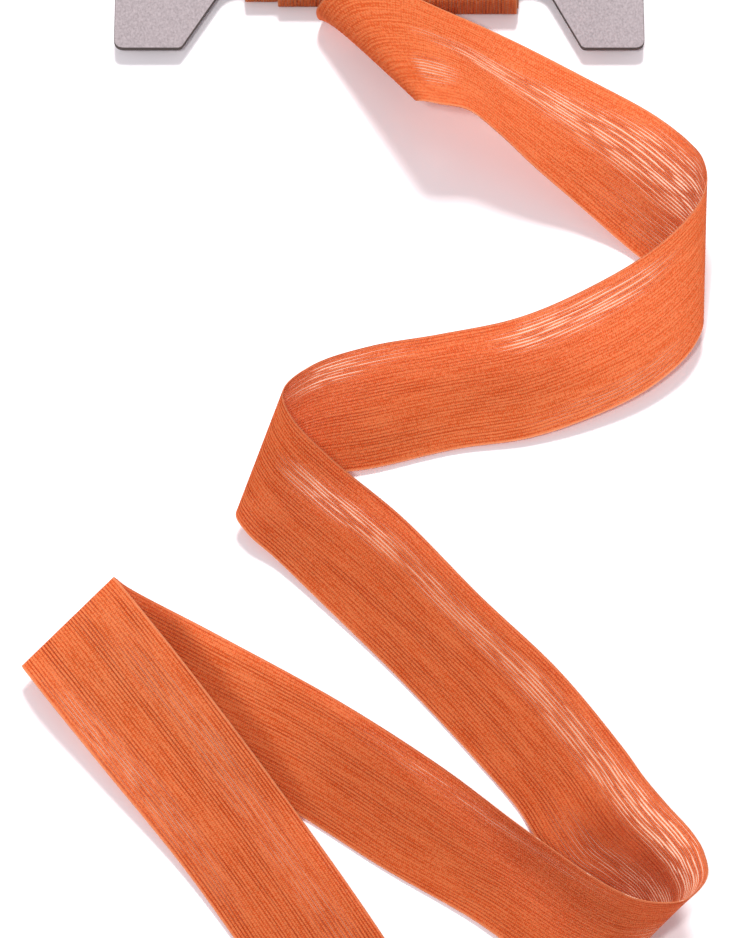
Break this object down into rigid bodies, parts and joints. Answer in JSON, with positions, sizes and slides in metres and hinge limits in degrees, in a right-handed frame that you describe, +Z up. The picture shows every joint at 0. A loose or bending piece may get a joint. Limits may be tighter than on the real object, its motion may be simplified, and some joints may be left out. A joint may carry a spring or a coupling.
{
  "type": "card-wound woven ribbon",
  "caption": "Soft semi-sheer woven ribbon wound on a flat notched card, its loose end lying in a long S of standing bends and a flat fold.",
  "frame": {"origin": "on the flat resting face under the wound ribbon, straight below the middle of the card", "axes": "+Z up from the table; X along the card's long side; the loose end runs away toward -Y"},
  "size_m": [0.1397, 0.3092, 0.0208],
  "materials": {
    "card": "matt grey chipboard",
    "wound_ribbon": "matt woven cloth in close turns",
    "loose_end": "matt semi-sheer ribbed weave"
  },
  "bodies": {
    "root": {"card": "card", "wound_ribbon": "wound_ribbon", "loose_end": "loose_end"}
  },
  "joints": []
}
